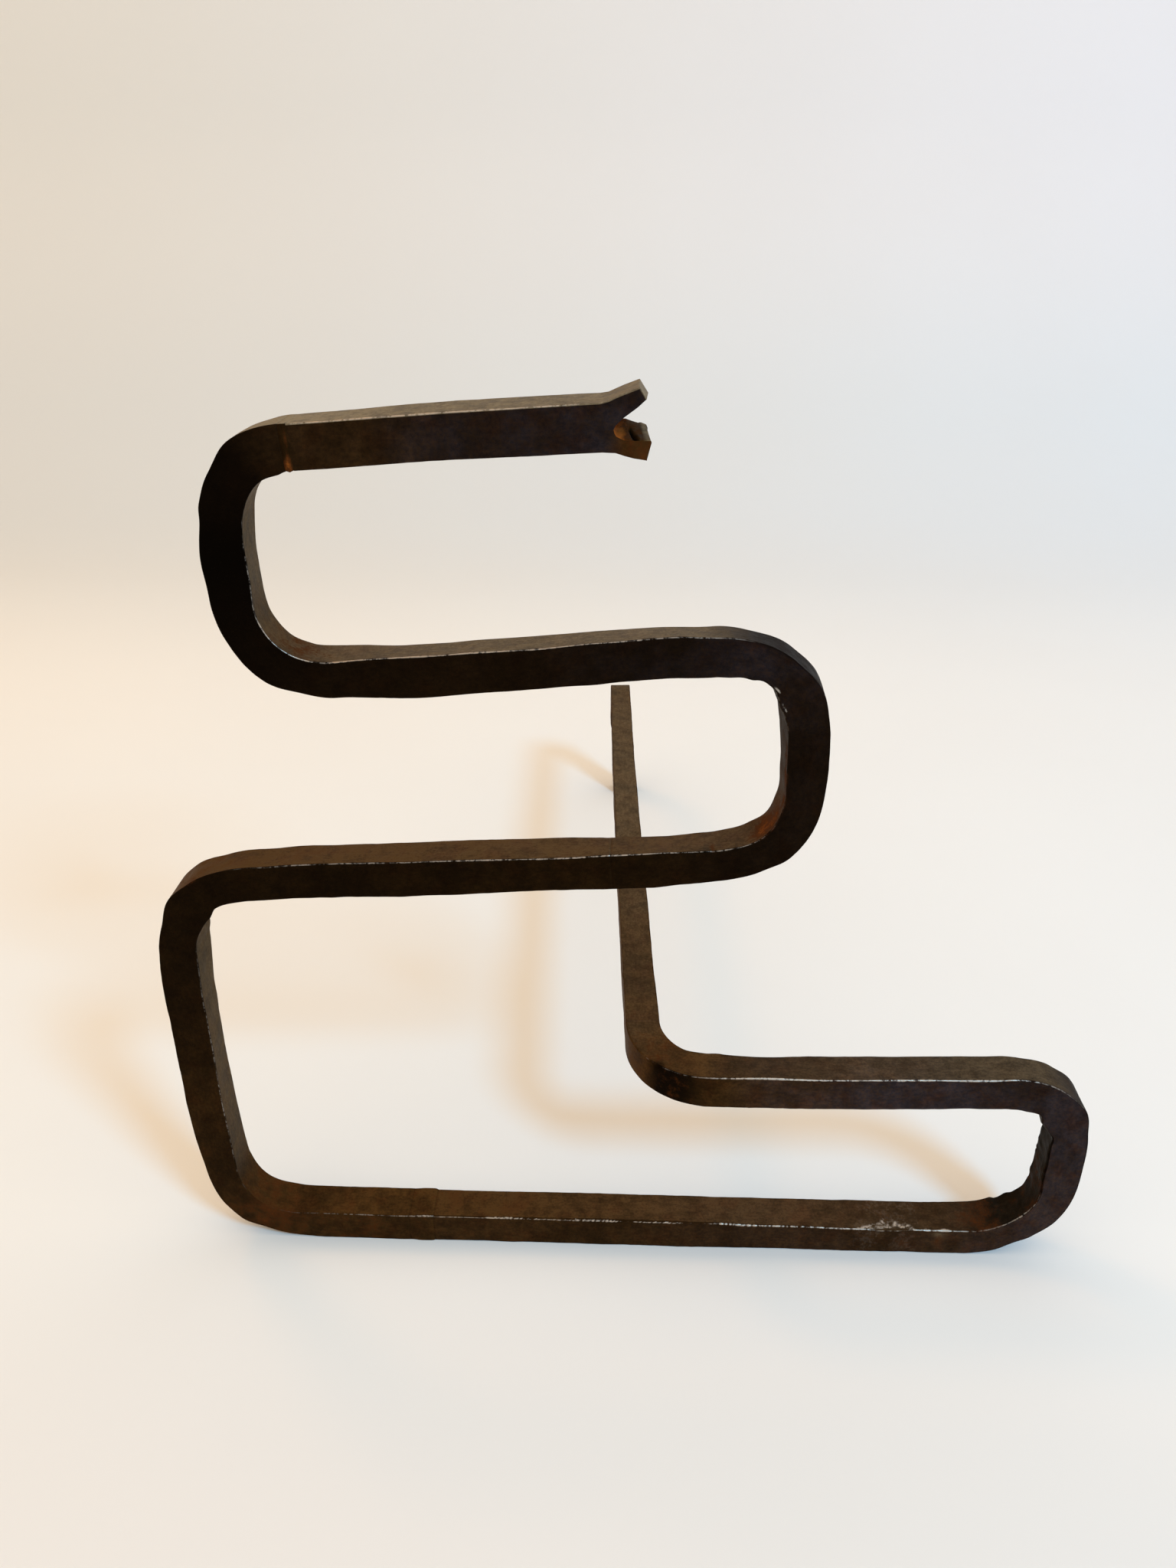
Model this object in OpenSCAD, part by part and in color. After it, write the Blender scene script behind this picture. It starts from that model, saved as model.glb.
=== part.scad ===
// Serpent andiron: one size of square bar, forged into three flat coils that stand in the X-Z plane,
// with the tail bent to the back as the bar that carries the logs.
// X points right, Y to the back, Z up. The origin is on the hearth, under the middle of the base bar.
// A path is a list of rows [length of bar, angle that it turns]. A left turn, seen from the front,
// is positive. Two paths leave the base bar: one climbs from its left end, one from its right end.
// The bar is swept along them as an eight-sided outline, square with its edges knocked flat.

/* [Bar] */
// Thickness of the square bar in the plane of the coils
bar_t = 16; // [13:0.2:19]
// Depth of the square bar, front to back
bar_d = 18; // [13:0.2:20]
// Flat that the hammer leaves along each edge
arris = 0.6; // [0.2:0.1:2]

/* [Base bar] */
// Straight base bar from the left corner to its weld
base_left = 52; // [30:1:90]
// Straight base bar from its weld to the right corner
base_right = 256; // [200:1:300]

/* [Lower coil] */
// Bend radius of the left corner on the hearth
hearth_bend_r = 36.5; // [28:0.5:50]
// Angle of that corner
hearth_bend = 86; // [80:0.5:92]
// Length of the left upright
upright = 128.5; // [100:0.5:160]
// Angle that the upright is bowed through
upright_bow = 7.5; // [1:0.5:12]
// Bend radius at the top of the upright
shoulder_bend_r = 37; // [28:0.5:50]
// Angle of the bend at the top of the upright
shoulder_bend = 83; // [76:0.5:90]
// Third bar, from the shoulder to its weld
third_left = 151.5; // [110:0.5:190]

/* [Upper coil] */
// Third bar, from its weld to the right coil
third_right = 43; // [25:1:70]
// Bend radius of the right coil, both corners
right_bend_r = 34.5; // [26:0.5:42]
// Angle of the right coil's lower corner
right_bend_low = 87; // [78:0.5:92]
// Side of the right coil
right_side = 24; // [16:0.5:50]
// Angle that this side is bowed through
right_side_bow = 2; // [1:0.5:12]
// Angle of the right coil's upper corner
right_bend_high = 92; // [86:0.5:98]
// Second bar, between the right coil and the left coil
second = 144.5; // [110:0.5:190]
// Bend radius of the left coil's lower corner
left_bend_low_r = 32.5; // [26:0.5:42]
// Angle of the left coil's lower corner
left_bend_low = 92; // [84:0.5:96]
// Side of the left coil
left_side = 31.5; // [20:0.5:50]
// Angle that this side is bowed through
left_side_bow = 8.5; // [1:0.5:16]
// Bend radius of the left coil's upper corner
left_bend_high_r = 27; // [22:0.5:36]
// Angle of the left coil's upper corner
left_bend_high = 80; // [74:0.5:86]

/* [Head] */
// Head bar, from its weld to the flare of the jaws
head = 99; // [70:1:140]
// Length of the flared and split end
jaw = 25; // [20:0.5:34]
// Depth of the mouth, from the tip of the jaws
mouth_depth = 14.5; // [8:0.5:18]
// Opening of the mouth between its inner edges
mouth_gape = 12.4; // [6:0.2:14]
// Place of the mouth's root below the middle of the bar
mouth_drop = 4; // [2:0.2:5]
// Fall of the mouth's lower side, from its root to the tip
mouth_fall = 1.6; // [0.2:0.2:3]
// Rise of the upper jaw above the bar
upper_lift = 3.4; // [1:0.2:6]
// Fall of the lower jaw below the bar
lower_fall = 5; // [1:0.2:6]
// Slant of the cut ends of the jaws
jaw_slant = 2.6; // [0.4:0.2:4]
// Bevel of the upper jaw's end, towards the mouth
mouth_bevel = 0.8; // [0.2:0.2:2]

/* [Tail] */
// Bend radius of the right corner on the hearth
tail_bend_low_r = 40; // [30:0.5:50]
// Angle of that corner
tail_bend_low = 86.5; // [78:0.5:90]
// Side of the tail coil
tail_side = 24.5; // [16:0.5:50]
// Angle that this side is bowed through
tail_side_bow = 6.5; // [1:0.5:12]
// Bend radius of the tail coil's upper corner
tail_bend_high_r = 32.5; // [26:0.5:42]
// Tail bar, from the coil to the corner where it turns to the back
tail = 130; // [90:0.5:170]
// Angle that the tail bar is bowed through
tail_bow = 2.5; // [1:0.5:6]

/* [Log bar] */
// Bend radius of the corner where the tail turns to the back
corner_bend_r = 33; // [28:0.5:50]
// Angle of that corner, seen from above
corner_bend = 88.2; // [84:0.2:92]
// Straight log bar behind the corner
log_bar = 405; // [300:1:460]
// Width of the log bar where it leaves the corner
log_w = 16.2; // [12:0.2:20]
// Width that the log bar is drawn down to at its rear end
rear_w = 14.6; // [12:0.2:20]
// Bend radius at the top of the rear leg
rear_bend_r = 34; // [28:0.5:50]
// Distance that the rear foot is set to the right of its bend
foot_set = 2.4; // [0:0.2:8]

/* [Welds] */
// Length of the weld in the head bar
head_weld_l = 3; // [2:0.5:8]
// Height of that weld above the bar around it
head_weld_h = 0.6; // [0.2:0.1:1.5]
// Length of the weld in the base bar
base_weld_l = 12; // [6:0.5:20]
// Height of that weld above the bar around it
base_weld_h = 0.5; // [0.2:0.1:1.5]

/* [Hidden] */
LEFT = 1;
RIGHT = -1;
// Straight steps in the curve of a jaw
JAW_STEPS = 5;
// Greatest turn between two sections of a swept bend
TURN_STEP = 5;

base_half = (base_left + base_weld_l + base_right) / 2;

function bend(radius, angle, side) = [radius * angle * PI / 180, side * angle];

// Rows of the path that climbs from the left end of the base bar to the head
lower_rows = [
    bend(hearth_bend_r, hearth_bend, RIGHT),
    [upright, RIGHT * upright_bow],
    bend(shoulder_bend_r, shoulder_bend, RIGHT),
    [third_left, 0]
];
upper_rows = [
    [third_right, 0],
    bend(right_bend_r, right_bend_low, LEFT),
    [right_side, LEFT * right_side_bow],
    bend(right_bend_r, right_bend_high, LEFT),
    [second, 0],
    bend(left_bend_low_r, left_bend_low, RIGHT),
    [left_side, RIGHT * left_side_bow],
    bend(left_bend_high_r, left_bend_high, RIGHT)
];

// Rows of the path that climbs from the right end of the base bar to the corner of the tail.
// Its last bend brings the tail bar level where it meets that corner.
tail_bend_high = 180 + tail_bow - tail_bend_low - tail_side_bow;
tail_rows = [
    bend(tail_bend_low_r, tail_bend_low, LEFT),
    [tail_side, LEFT * tail_side_bow],
    bend(tail_bend_high_r, tail_bend_high, LEFT),
    [tail, RIGHT * tail_bow]
];

// A place on a path is [x, z, heading]. This one lies the given share of the way along a row.
function along(place, row, share = 1) =
    let (h = place[2], turned = h + row[1] * share)
    row[1] == 0
        ? [place[0] + row[0] * share * cos(h), place[1] + row[0] * share * sin(h), h]
        : let (r = row[0] / (row[1] * PI / 180))
          [place[0] + r * (sin(turned) - sin(h)), place[1] + r * (cos(h) - cos(turned)), turned];
function path_place(start, rows, count) =
    count == 0 ? start : along(path_place(start, rows, count - 1), rows[count - 1]);

// Places at which the bar's section is drawn along the rows, leaving out the start of the path
function path_places(start, rows) =
    [for (i = [0 : len(rows) - 1])
        let (from = path_place(start, rows, i), steps = max(1, ceil(abs(rows[i][1]) / TURN_STEP)))
        for (k = [1 : steps]) along(from, rows[i], k / steps)];

lower_start = [-base_half, bar_t / 2, 180];
upper_start = path_place(lower_start, lower_rows, len(lower_rows));
head_weld_start = path_place(upper_start, upper_rows, len(upper_rows));
head_start = along(head_weld_start, [head_weld_l, 0]);
tail_start = [base_half, bar_t / 2, 0];
corner_start = path_place(tail_start, tail_rows, len(tail_rows));
// Height of the log bar's middle line above the hearth
log_z = corner_start[1];

// A section is [middle of the bar, direction of its depth, direction of its thickness, depth].
// The product of the two directions points along the bar.
function front_section(place) =
    [[place[0], 0, place[1]], [0, 1, 0], [-sin(place[2]), 0, cos(place[2])], bar_d];
function front_sections(start, rows) = [for (place = path_places(start, rows)) front_section(place)];
function base_section(x) = front_section([x, bar_t / 2, 0]);

// Direction in plan at an angle from +X towards +Y
function level(angle) = [cos(angle), sin(angle), 0];
log_heading = 180 - corner_bend;
corner_steps = ceil(corner_bend / TURN_STEP);
corner_middle = [corner_start[0], corner_bend_r, log_z];
// The corner turns the bar from -X to the back, around a point behind the tail bar, and narrows it
function corner_section(turned) =
    [corner_middle - corner_bend_r * level(90 - turned), level(90 - turned), [0, 0, -1],
        bar_d + (log_w - bar_d) * turned / corner_bend];
corner_end = corner_section(corner_bend)[0];
across_log = level(log_heading - 90);
rear_bend_start = corner_end + log_bar * level(log_heading);
rear_steps = ceil(90 / TURN_STEP);
function rear_section(middle, drop) =
    [middle, across_log, cos(drop) * [0, 0, -1] - sin(drop) * level(log_heading), rear_w];
function rear_bend_section(drop) =
    rear_section(rear_bend_start
        + rear_bend_r * (sin(drop) * level(log_heading) - (1 - cos(drop)) * [0, 0, 1]), drop);
rear_bend_end = rear_bend_section(90)[0];

// Corners of the bar's outline, its edges knocked flat
function bar_outline(width, height) =
    let (w = width / 2, h = height / 2)
    [
        [-w + arris, -h], [w - arris, -h], [w, -h + arris], [w, h - arris],
        [w - arris, h], [-w + arris, h], [-w, h - arris], [-w, -h + arris]
    ];

// Bar drawn through a list of sections
module swept_bar(sections) {
    sides = 8;
    last = len(sections) - 1;
    points = [for (s = sections) for (p = bar_outline(s[3], bar_t)) s[0] + p[0] * s[1] + p[1] * s[2]];
    skin = [for (i = [0 : last - 1]) for (k = [0 : sides - 1])
        let (next = (k + 1) % sides)
        [i * sides + k, (i + 1) * sides + k, (i + 1) * sides + next, i * sides + next]];
    front_end = [for (k = [0 : sides - 1]) k];
    back_end = [for (k = [sides - 1 : -1 : 0]) last * sides + k];
    polyhedron(points, concat([front_end], skin, [back_end]));
}

module straight_bar(length, width = bar_d, height = bar_t) {
    rotate([90, 0, 90]) linear_extrude(length) polygon(bar_outline(width, height));
}

module at_place(place) {
    translate([place[0], 0, place[1]]) rotate([0, -place[2], 0]) children();
}

// Curve of a jaw: from the face of the bar at height `from` it moves by `rise`, more and more steeply
function jaw_curve(from, rise) =
    [for (i = [0 : JAW_STEPS]) let (u = i / JAW_STEPS)
        [(jaw - jaw_slant) * u, from + rise * u * u]];
function reversed(points) = [for (i = [len(points) - 1 : -1 : 0]) points[i]];

// Split end of the bar, seen from the front, drawn along the head bar
module jaws() {
    root = [jaw - mouth_depth, -mouth_drop];
    tip_low = root[1] - mouth_fall;
    tip_high = tip_low + mouth_gape;
    nose = (bar_t / 2 + upper_lift + tip_high) / 2;
    chin = (tip_low - bar_t / 2 - lower_fall) / 2;
    rotate([90, 0, 0]) linear_extrude(bar_d, center = true) polygon(concat(
        jaw_curve(bar_t / 2, upper_lift),
        [[jaw, nose], [jaw - mouth_bevel, tip_high], root, [jaw - jaw_slant, tip_low], [jaw, chin]],
        reversed(jaw_curve(-bar_t / 2, -lower_fall))
    ));
}

module head_bar() {
    color("#2a221d") at_place(head_start) {
        straight_bar(head);
        translate([head, 0, 0]) jaws();
    }
}

// Bead of the weld that holds the head bar, proud of the bar all round
module head_weld() {
    color("#5a3826") at_place(head_weld_start)
        straight_bar(head_weld_l, bar_d + 2 * head_weld_h, bar_t + 2 * head_weld_h);
}

module upper_coil() {
    color("#241d19")
        swept_bar(concat([front_section(upper_start)], front_sections(upper_start, upper_rows)));
}

module lower_coil() {
    color("#2a211a") swept_bar(concat(
        [front_section([base_left - base_half, bar_t / 2, 180]), front_section(lower_start)],
        front_sections(lower_start, lower_rows)
    ));
}

// Swollen weld in the base bar. Its underside is dressed flat, so that the bar lies on the hearth.
module base_weld() {
    color("#3b2c20") translate([base_left - base_half, 0, (bar_t + base_weld_h) / 2])
        straight_bar(base_weld_l, bar_d + 2 * base_weld_h, bar_t + base_weld_h);
}

module tail_coil() {
    color("#2b2320") swept_bar(concat(
        [base_section(base_left + base_weld_l - base_half), base_section(base_half)],
        front_sections(tail_start, tail_rows),
        [for (i = [1 : corner_steps]) corner_section(i * corner_bend / corner_steps)]
    ));
}

// Bar that the logs lie on, and the leg that it ends in
module log_bar_leg() {
    color("#3a332c") swept_bar(concat(
        [corner_section(corner_bend)],
        [for (i = [0 : rear_steps]) rear_bend_section(i * 90 / rear_steps)],
        [rear_section([rear_bend_end[0] + foot_set, rear_bend_end[1], 0], 90)]
    ));
}

head_bar();
head_weld();
upper_coil();
lower_coil();
base_weld();
tail_coil();
log_bar_leg();
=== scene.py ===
"""Looks of the serpent andiron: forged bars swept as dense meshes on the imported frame, in rusted iron."""

import math

import bmesh
import bpy
import numpy as np
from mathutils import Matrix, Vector


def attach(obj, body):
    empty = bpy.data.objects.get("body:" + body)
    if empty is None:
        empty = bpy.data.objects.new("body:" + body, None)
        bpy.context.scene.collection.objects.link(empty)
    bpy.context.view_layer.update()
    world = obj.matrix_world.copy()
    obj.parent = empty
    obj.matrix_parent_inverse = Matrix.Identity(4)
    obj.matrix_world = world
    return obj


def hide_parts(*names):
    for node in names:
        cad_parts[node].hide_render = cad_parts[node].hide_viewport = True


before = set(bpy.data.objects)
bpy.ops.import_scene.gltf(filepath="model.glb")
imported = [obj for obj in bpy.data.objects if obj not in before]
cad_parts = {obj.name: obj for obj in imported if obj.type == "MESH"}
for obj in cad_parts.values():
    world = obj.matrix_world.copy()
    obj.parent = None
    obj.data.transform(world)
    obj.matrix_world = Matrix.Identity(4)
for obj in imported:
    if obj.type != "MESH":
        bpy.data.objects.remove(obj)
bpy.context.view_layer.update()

MM = 0.001
LEFT, RIGHT = 1, -1

# ---- Sizes, in millimetres and degrees ----

# Thickness and depth of the bar in the coils, its width after the corner and at the rear bend, and how much
# slimmer the leg is
BAR_T = 16.0
BAR_D = 18.0
LOG_W = 16.2
REAR_W = 14.6
LEG_SLIMMER = 1.6
BASE_LEFT = 52.0
BASE_RIGHT = 256.0
BASE_WELD_L = 12.0
HEAD_WELD_L = 3.0
CORNER_R = 33.0
CORNER_ANGLE = 88.2
LOG_BAR = 405.0
REAR_R = 34.0
# How far the foot stands to the right of the top of the leg
FOOT_SET = 2.4
BASE_HALF = (BASE_LEFT + BASE_WELD_L + BASE_RIGHT) / 2


def bend(name, radius, angle, side):
    return (name, math.radians(radius * angle), side * angle)


# Paths of the coils. A row is (name, length of bar, angle it turns).
LOWER_ROWS = [
    ("base_left", BASE_LEFT, 0),
    bend("hearth_bend", 36.5, 86, RIGHT),
    ("upright", 128.5, RIGHT * 7.5),
    bend("shoulder_bend", 37, 83, RIGHT),
    ("third_left", 151.5, 0),
]
UPPER_ROWS = [
    ("third_right", 43, 0),
    bend("right_low", 34.5, 87, LEFT),
    ("right_side", 24, LEFT * 2),
    bend("right_high", 34.5, 92, LEFT),
    ("second", 144.5, 0),
    bend("left_low", 32.5, 92, RIGHT),
    ("left_side", 31.5, RIGHT * 8.5),
    bend("left_high", 27, 80, RIGHT),
]
TAIL_ROWS = [
    ("base_right", BASE_RIGHT, 0),
    bend("tail_low", 40, 86.5, LEFT),
    ("tail_side", 24.5, LEFT * 6.5),
    bend("tail_high", 32.5, 89.5, LEFT),
    ("tail", 130, RIGHT * 2.5),
]

# Spacing of the sections along the bar, points on each side and on each rounded edge of a section, and the
# wear of those edge points
STEP = 0.95
SIDE_POINTS = 13
ARC_WEAR = (0.25, 0.85, 1.0, 0.85, 0.25)
ARC_POINTS = len(ARC_WEAR)


# ---- Path of the bar ----


def along(place, row, share=1.0):
    """The place [x, z, heading] that lies the given share of the way along a row."""
    x, z, heading = place
    _, length, turn = row
    h, turned = math.radians(heading), math.radians(heading + turn * share)
    if turn == 0:
        return (x + length * share * math.cos(h), z + length * share * math.sin(h), heading)
    r = length / math.radians(turn)
    return (
        x + r * (math.sin(turned) - math.sin(h)),
        z + r * (math.cos(h) - math.cos(turned)),
        heading + turn * share,
    )


def run(place, rows):
    for row in rows:
        place = along(place, row)
    return place


def level(angle):
    a = math.radians(angle)
    return np.array([math.cos(a), math.sin(a), 0.0])


DOWN = np.array([0.0, 0.0, -1.0])


class Stations:
    """Sections of a bar: middle, directions of its depth and thickness, and a named place in the path."""

    def __init__(self):
        self.middle, self.across, self.up, self.depth, self.mark, self.s = [], [], [], [], [], []
        self.names = []

    def add(self, name, share, middle, across, up, depth):
        if not self.names or self.names[-1] != name:
            self.names.append(name)
        middle = np.array(middle, float)
        here = self.s[-1] + float(np.linalg.norm(middle - self.middle[-1])) if self.middle else 0.0
        self.middle.append(middle)
        self.across.append(np.array(across, float))
        self.up.append(np.array(up, float))
        self.depth.append(depth)
        self.mark.append(len(self.names) - 1 + share)
        self.s.append(here)

    def front_rows(self, place, rows):
        """Rows in the plane of the coils."""
        for row in rows:
            count = max(2, math.ceil(row[1] / STEP))
            for k in range(0 if not self.middle else 1, count + 1):
                x, z, heading = along(place, row, k / count)
                h = math.radians(heading)
                self.add(row[0], k / count, (x, 0, z), (0, 1, 0), (-math.sin(h), 0, math.cos(h)), BAR_D)
            place = along(place, row)
        return place

    def done(self):
        """Lists turned into arrays, once all the rows are in."""
        for key in ("middle", "across", "up", "depth", "mark", "s"):
            setattr(self, key, np.array(getattr(self, key), float))

    def at(self, name, share):
        """Distance along the bar of a named place."""
        return float(np.interp(self.names.index(name) + share, self.mark, self.s))

    def profile(self, **rows):
        """Values along the bar from rows of points {share: value}, with smooth steps between them."""
        points = [(self.at(name, share), row[share]) for name, row in rows.items() for share in row]
        where, values = np.array(points, float).T
        if len(points) == 1:
            return np.full(len(self.s), values[0])
        k = np.clip(np.searchsorted(where, self.s) - 1, 0, len(where) - 2)
        t = np.clip((self.s - where[k]) / np.maximum(where[k + 1] - where[k], 1e-6), 0, 1)
        t = t * t * (3 - 2 * t)
        return values[k] * (1 - t) + values[k + 1] * t


lower_start = (BASE_LEFT - BASE_HALF, BAR_T / 2, 180.0)
upper_start = run(lower_start, LOWER_ROWS)
head_weld_start = run(upper_start, UPPER_ROWS)
tail_start = (BASE_LEFT + BASE_WELD_L - BASE_HALF, BAR_T / 2, 0.0)
corner_start = run(tail_start, TAIL_ROWS)
log_z = corner_start[1]
log_heading = 180 - CORNER_ANGLE
corner_middle = np.array([corner_start[0], CORNER_R, log_z])
corner_end = corner_middle - CORNER_R * level(90 - CORNER_ANGLE)


def corner_rows(stations):
    count = math.ceil(math.radians(CORNER_ANGLE) * CORNER_R / STEP)
    for k in range(1, count + 1):
        turned = CORNER_ANGLE * k / count
        across = level(90 - turned)
        depth = BAR_D + (LOG_W - BAR_D) * k / count
        stations.add("corner", k / count, corner_middle - CORNER_R * across, across, DOWN, depth)


def log_rows(stations):
    ahead, across = level(log_heading), level(log_heading - 90)
    count = math.ceil(LOG_BAR / STEP)
    for k in range(count + 1):
        share = k / count
        depth = LOG_W + (REAR_W - LOG_W) * share
        stations.add("log_bar", share, corner_end + LOG_BAR * share * ahead, across, DOWN, depth)
    bend_start = corner_end + LOG_BAR * ahead
    count = math.ceil(math.radians(90) * REAR_R / STEP)
    for k in range(1, count + 1):
        drop = math.radians(90 * k / count)
        middle = bend_start + REAR_R * (math.sin(drop) * ahead + (1 - math.cos(drop)) * DOWN)
        up = math.cos(drop) * DOWN - math.sin(drop) * ahead
        stations.add("rear_bend", k / count, middle, across, up, REAR_W)
    top = bend_start + REAR_R * (ahead + DOWN)
    foot = np.array([top[0] + FOOT_SET, top[1], 0.0])
    count = math.ceil(top[2] / STEP)
    for k in range(1, count + 1):
        depth = REAR_W - LEG_SLIMMER * min(1, 4 * k / count)
        stations.add("leg", k / count, top + (foot - top) * k / count, across, -ahead, depth)


# ---- Noise and hammer marks ----


def noise3(points, size, seed):
    """Smooth noise from -1 to 1 with bumps of about the given size, the same each run."""
    p = points / size
    cell = np.floor(p).astype(np.int64)
    f = p - cell
    f = f * f * (3 - 2 * f)
    total = np.zeros(len(points))
    for corner in range(8):
        step = np.array([corner & 1, corner >> 1 & 1, corner >> 2 & 1])
        c = cell + step
        h = c[:, 0] * 374761393 + c[:, 1] * 668265263 + c[:, 2] * 1440662683 + seed * 971215073
        h = h & 0x7FFFFFFF
        h = ((h ^ (h >> 13)) * 1274126177) & 0x7FFFFFFF
        value = (h ^ (h >> 16)) / 0x3FFFFFFF - 1
        weight = np.prod(np.where(step == 1, f, 1 - f), axis=1)
        total += value * weight
    return total


def facets(s, length, amount, seed):
    """Flats left by hammer blows along a face: straight runs between random heights."""
    rng = np.random.default_rng(seed)
    knots = np.cumsum(rng.uniform(0.5, 1.5, int(s[-1] / length) + 4) * length) - length
    heights = rng.uniform(-amount, amount, len(knots))
    return np.interp(s, knots, heights)


def bump_at(s, place, length):
    """A smooth hump of height 1 around a place along the bar."""
    return np.exp(-(((s - place) / (length / 2)) ** 2))


# ---- Section of the bar ----
# Corners run front low, front high, back high, back low.

OUTWARD = [(-1, -1), (-1, 1), (1, 1), (1, -1)]
FRONT_LOW, FRONT_HIGH, BACK_HIGH, BACK_LOW = 0, 1, 2, 3


def rounded(u, v, r, i):
    """Points of the small arc that rounds corner i of the section."""
    a, b = OUTWARD[i]
    points = []
    for k in range(ARC_POINTS):
        angle = math.pi / 2 * k / (ARC_POINTS - 1)
        cu, cv = math.sin(angle), math.cos(angle)
        if i in (FRONT_HIGH, BACK_LOW):
            cu, cv = cv, cu
        points.append((u - a * r * (1 - cu), v - b * r * (1 - cv)))
    return points


def ring(low_f, high_f, high_b, low_b, half_depth, radius):
    """Points (u, v) around each section, how near an edge and on which side each lies, from arrays."""
    n = len(half_depth)
    corners = [(-half_depth, low_f), (-half_depth, high_f), (half_depth, high_b), (half_depth, low_b)]
    arcs = [rounded(u, v, radius[:, i], i) for i, (u, v) in enumerate(corners)]
    columns, edge, side = [], [], []
    for i in range(4):
        columns += arcs[i]
        edge += ARC_WEAR
        side += [i] * ARC_POINTS
        (u0, v0), (u1, v1) = arcs[i][-1], arcs[(i + 1) % 4][0]
        for k in range(1, SIDE_POINTS + 1):
            t = (1 - math.cos(math.pi * k / (SIDE_POINTS + 1))) / 2
            columns.append((u0 + (u1 - u0) * t, v0 + (v1 - v0) * t))
            edge.append(0.0)
            side.append(i)
    u = np.stack([np.broadcast_to(c[0], n) for c in columns], 1)
    v = np.stack([np.broadcast_to(c[1], n) for c in columns], 1)
    return u, v, np.array(edge), np.array(side)


FRONT, HIGH, BACK, LOW = 0, 1, 2, 3
# Length over which hammer marks fade out towards a neighbouring piece
JOIN_FADE = 12


def over_sides(values, side, edge):
    """Values of the four sides at the points of a section; an edge takes the lower of its two sides."""
    own, other = values[:, side], values[:, (side + 3) % 4]
    return np.where(edge > 0, np.minimum(own, other), own)


class Bar:
    """A forged bar: its stations, the heights of its four corners, and the marks, rust and wear on it."""

    def __init__(self, name, stations, seed):
        stations.done()
        self.name, self.st, self.seed = name, stations, seed
        n = len(stations.s)
        half = BAR_T / 2
        self.low_f, self.high_f = np.full(n, -half), np.full(n, half)
        self.low_b, self.high_b = np.full(n, -half), np.full(n, half)
        self.radius = np.full((n, 4), 0.5)
        self.bright = np.full((n, 4), 0.25)
        self.sway = np.zeros(n)
        self.serrated, self.nicks, self.flats, self.ragged = [], [], [], []
        self.rust, self.spots, self.scratches = [], [], []
        self.tone = np.full((n, 4), 0.3)
        # Ash and dust on each side; where a side is seen at a grazing angle it also stands for painted
        # sheen
        self.ash_and_painted_sheen = np.zeros((n, 4))
        self.cool = np.zeros(n)
        self.free_end = False

    def paint(self, front, rest):
        """How dark or brown the front and the other sides are along the bar."""
        self.tone = np.stack([self.st.profile(**(front if k == FRONT else rest)) for k in range(4)], 1)

    def sections(self):
        """Corner heights and half depth with the hammer marks, which fade where another piece joins on."""
        s, seed = self.st.s, self.seed
        fade = np.clip(s / JOIN_FADE, 0, 1)
        if not self.free_end:
            fade = fade * np.clip((s[-1] - s) / JOIN_FADE, 0, 1)
        over = (facets(s, 13, 0.15, seed + 1) + facets(s, 34, 0.12, seed + 2)) * fade
        under = (facets(s, 13, 0.15, seed + 3) + facets(s, 34, 0.12, seed + 4)) * fade
        tilt = facets(s, 27, 0.1, seed + 8) * fade
        half_depth = self.st.depth / 2 + facets(s, 17, 0.12, seed + 9) * fade
        low_f, high_f = self.low_f - under - tilt, self.high_f + over - tilt
        low_b, high_b = self.low_b - under + tilt, self.high_b + over + tilt
        return low_f, high_f, high_b, low_b, half_depth

    def build(self):
        s, seed = self.st.s, self.seed
        low_f, high_f, high_b, low_b, half_depth = self.sections()
        radius = self.radius * (1 + 0.3 * np.stack([facets(s, 7, 1, seed + 5 + i) for i in range(4)], 1))
        u, v, arcs, side = ring(low_f, high_f, high_b, low_b, half_depth, radius)
        edge = arcs * self.bright[:, side]
        for mark in self.serrated:
            u, v, edge = serrate(u, v, edge, s, half_depth, mark)
        for mark in self.nicks:
            u, v = nick(u, v, s, half_depth, mark)
        for mark in self.flats:
            u, v, edge = flatten(u, v, edge, s, half_depth, mark)
        points = self.skin(u, v, side, half_depth)
        looks = self.looks(u, v, side, arcs, edge)
        index = np.arange(u.size).reshape(u.shape)
        faces = tube(index).reshape(-1, 4).tolist() + [index[0].tolist(), index[-1][::-1].tolist()]
        return make_mesh(self.name, points, faces, looks, flow(s[:, None], u, v))

    def skin(self, u, v, side, half_depth):
        """Points of the skin in the part's frame, lifted where the metal is uneven or torn."""
        st = self.st
        across, up = st.across[:, None, :], st.up[:, None, :]
        points = st.middle[:, None, :] + (u + self.sway[:, None])[:, :, None] * across + v[:, :, None] * up
        outward = box_normal(u / half_depth[:, None], v / (BAR_T / 2), across, up)
        flat, outward = points.reshape(-1, 3), outward.reshape(-1, 3)
        lift = surface_lift(flat)
        for place, length, amount, sides in self.ragged:
            where = np.outer(bump_at(st.s, place, length), np.isin(side, sides))
            lift += amount * where.ravel() * ragged(flat)
        return flat + outward * lift[:, None]

    def looks(self, u, v, side, arcs, edge):
        """Values at each point that the materials read."""
        s = self.st.s
        rust = np.zeros(u.shape)
        for place, length, sides, amount in self.rust:
            rust = np.maximum(rust, amount * np.outer(bump_at(s, place, length), np.isin(side, sides)))
        looks = {
            "edge": edge,
            "rust": rust,
            "tone": over_sides(self.tone, side, arcs),
            "ash_and_painted_sheen": over_sides(self.ash_and_painted_sheen, side, arcs),
            "cool": np.outer(self.cool, np.where(side == FRONT, 1.0, 0.55)),
        }
        for line in self.scratches:
            looks["edge"] = looks["edge"] + scratch(s, u, v, side, line)
        for key, place, length, on_side, middle, width, amount in self.spots:
            here = np.where(on_side in (HIGH, LOW), u, v)
            spot = bump_at(s, place, length)[:, None] * bump_at(here, middle, width) * (side == on_side)
            looks[key] = looks[key] + amount * spot
        return looks


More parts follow.
